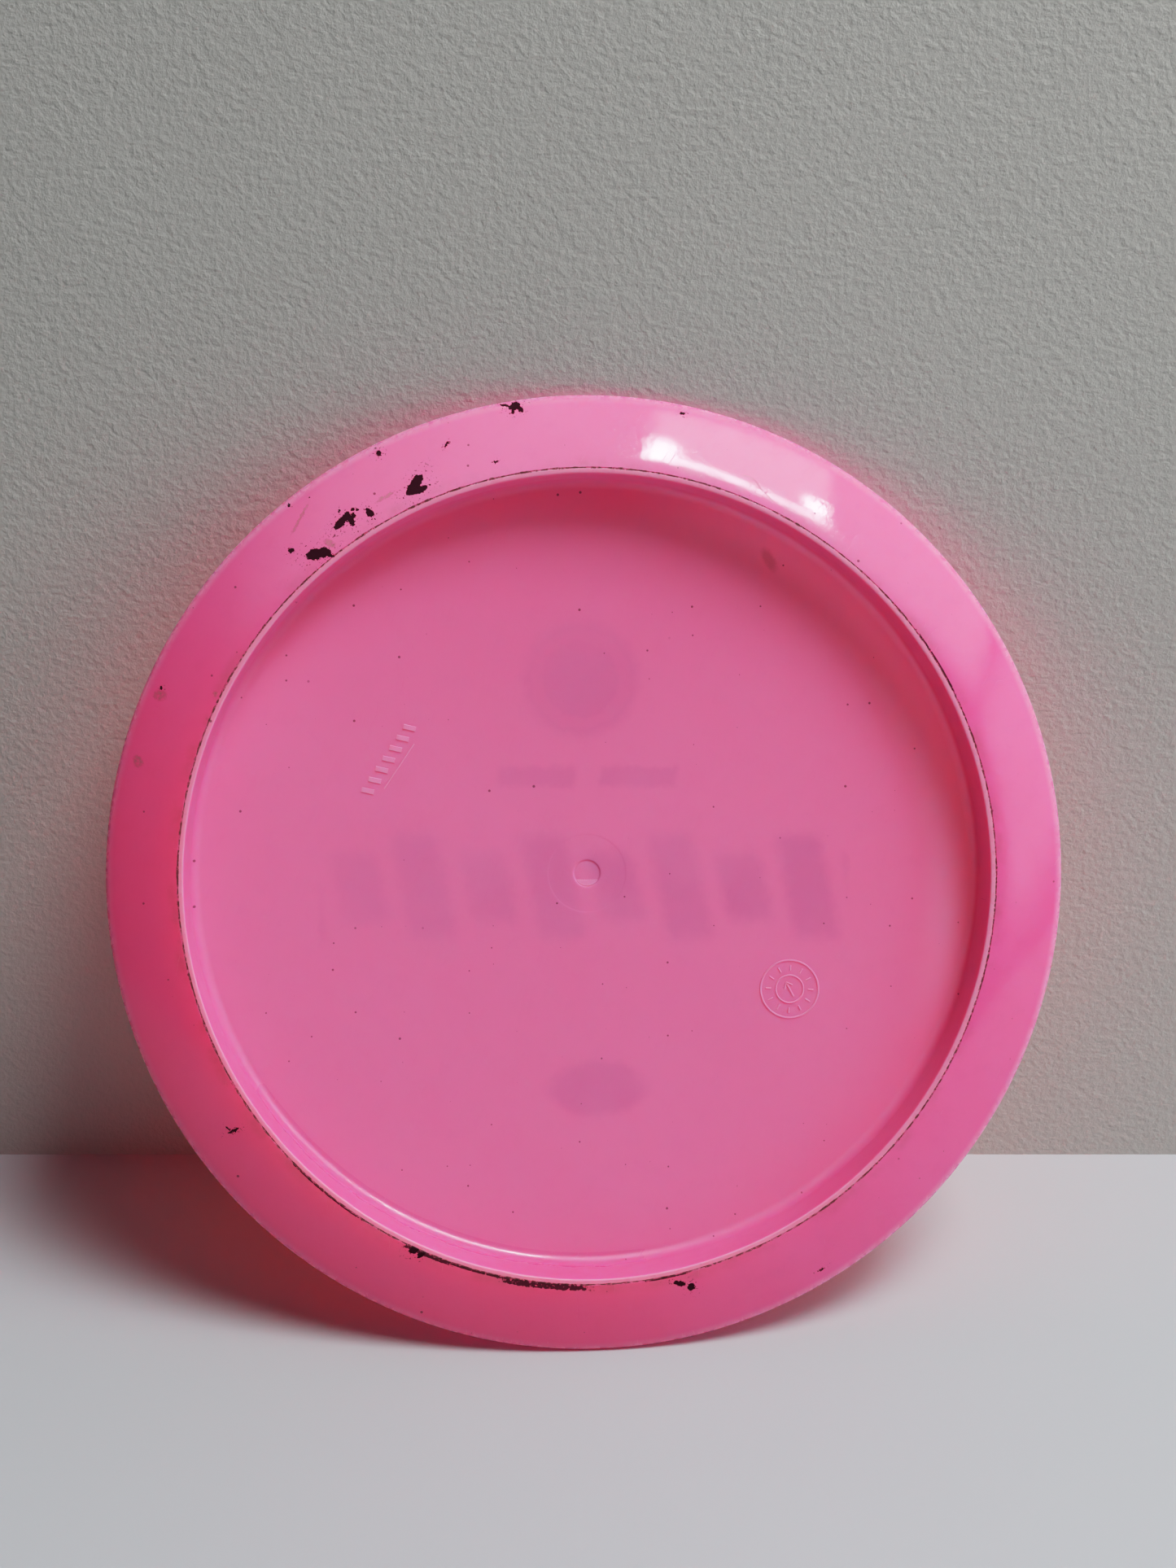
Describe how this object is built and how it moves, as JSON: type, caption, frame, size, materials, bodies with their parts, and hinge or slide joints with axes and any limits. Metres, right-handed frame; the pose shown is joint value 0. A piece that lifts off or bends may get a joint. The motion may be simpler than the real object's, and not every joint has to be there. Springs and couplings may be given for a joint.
{
  "type": "flying disc",
  "caption": "Round flying disc for disc golf: thin domed flight plate inside a wide wing-shaped rim, hollow underneath, with foil decoration on top.",
  "frame": {"origin": "centre of the flat ring the disc stands on, at the lowest point of the rim", "axes": "+Z is the disc's axis of symmetry, towards its domed top face; +Y points from the centre to the round foil emblem; +X completes the right-handed frame"},
  "size_m": [0.211, 0.211, 0.0182],
  "materials": {
    "pink_plastic": "satin to glossy, slightly translucent moulded thermoplastic",
    "foil_dark": "dark metallised hot-stamp foil",
    "foil_teal": "teal metallised hot-stamp foil"
  },
  "bodies": {
    "root": {"disc_body": "pink_plastic", "foil_emblem_ring": "foil_teal", "foil_emblem_rosette": "foil_teal", "foil_rule_left": "foil_dark", "foil_rule_right": "foil_dark", "foil_band_bar_1": "foil_dark", "foil_band_bar_2": "foil_dark", "foil_band_bar_3": "foil_dark", "foil_band_bar_4": "foil_dark", "foil_band_bar_5": "foil_dark", "foil_band_bar_6": "foil_dark", "foil_band_bar_7": "foil_dark", "foil_band_bar_8": "foil_dark", "foil_lozenge": "foil_dark"}
  },
  "joints": []
}
